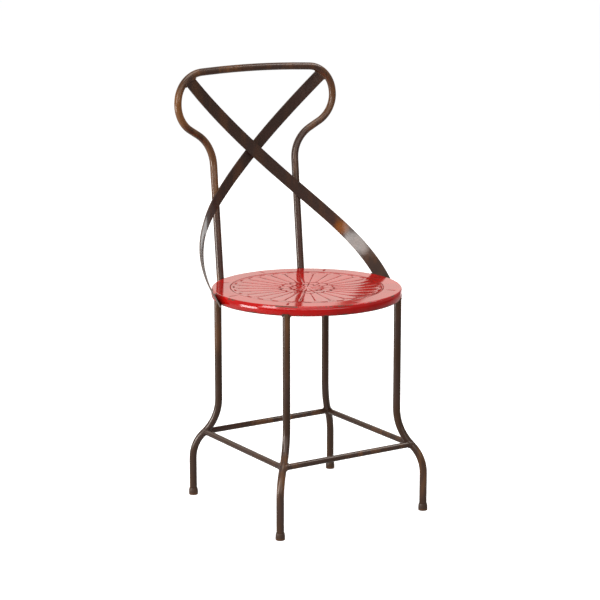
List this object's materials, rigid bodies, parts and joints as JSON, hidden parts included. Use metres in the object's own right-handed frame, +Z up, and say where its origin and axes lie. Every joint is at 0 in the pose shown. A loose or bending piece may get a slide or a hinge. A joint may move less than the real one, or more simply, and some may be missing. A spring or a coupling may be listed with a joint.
{
  "type": "dining chair",
  "caption": "Welded metal dining chair: round pressed seat with an embossed rosette, bent tube legs with stretchers, and a hoop back crossed by flat bars.",
  "frame": {"origin": "on the floor, under the middle of the chair's overall box", "axes": "+Z up, the chair faces -Y, +X to the right as seen from the front"},
  "size_m": [0.4118, 0.4008, 0.88],
  "materials": {
    "seat_lacquer": "high-gloss red lacquer over pressed steel, chipped along the rim",
    "frame_bronze": "dark bronze-brown patina with copper streaks, satin gloss",
    "ring_steel": "plain steel tube inside the rolled rim",
    "foot_cap": "dark bronze, satin",
    "weld": "weld beads under the bronze finish"
  },
  "bodies": {
    "root": {"seat_pan": "seat_lacquer", "seat_ring": "ring_steel", "leg_front_left": "frame_bronze", "leg_front_right": "frame_bronze", "leg_rear_left": "frame_bronze", "leg_rear_right": "frame_bronze", "foot_cap_front_left": "foot_cap", "foot_cap_front_right": "foot_cap", "foot_cap_rear_left": "foot_cap", "foot_cap_rear_right": "foot_cap", "stretcher_front": "frame_bronze", "stretcher_rear": "frame_bronze", "stretcher_left": "frame_bronze", "stretcher_right": "frame_bronze", "back_hoop": "frame_bronze", "back_bar_front": "frame_bronze", "back_bar_rear": "frame_bronze", "weld_stretchers": "weld", "weld_leg_tops": "weld", "weld_hoop_feet": "weld", "weld_bar_tops": "weld", "weld_bar_ends": "weld", "weld_bar_tacks": "weld"}
  },
  "joints": []
}
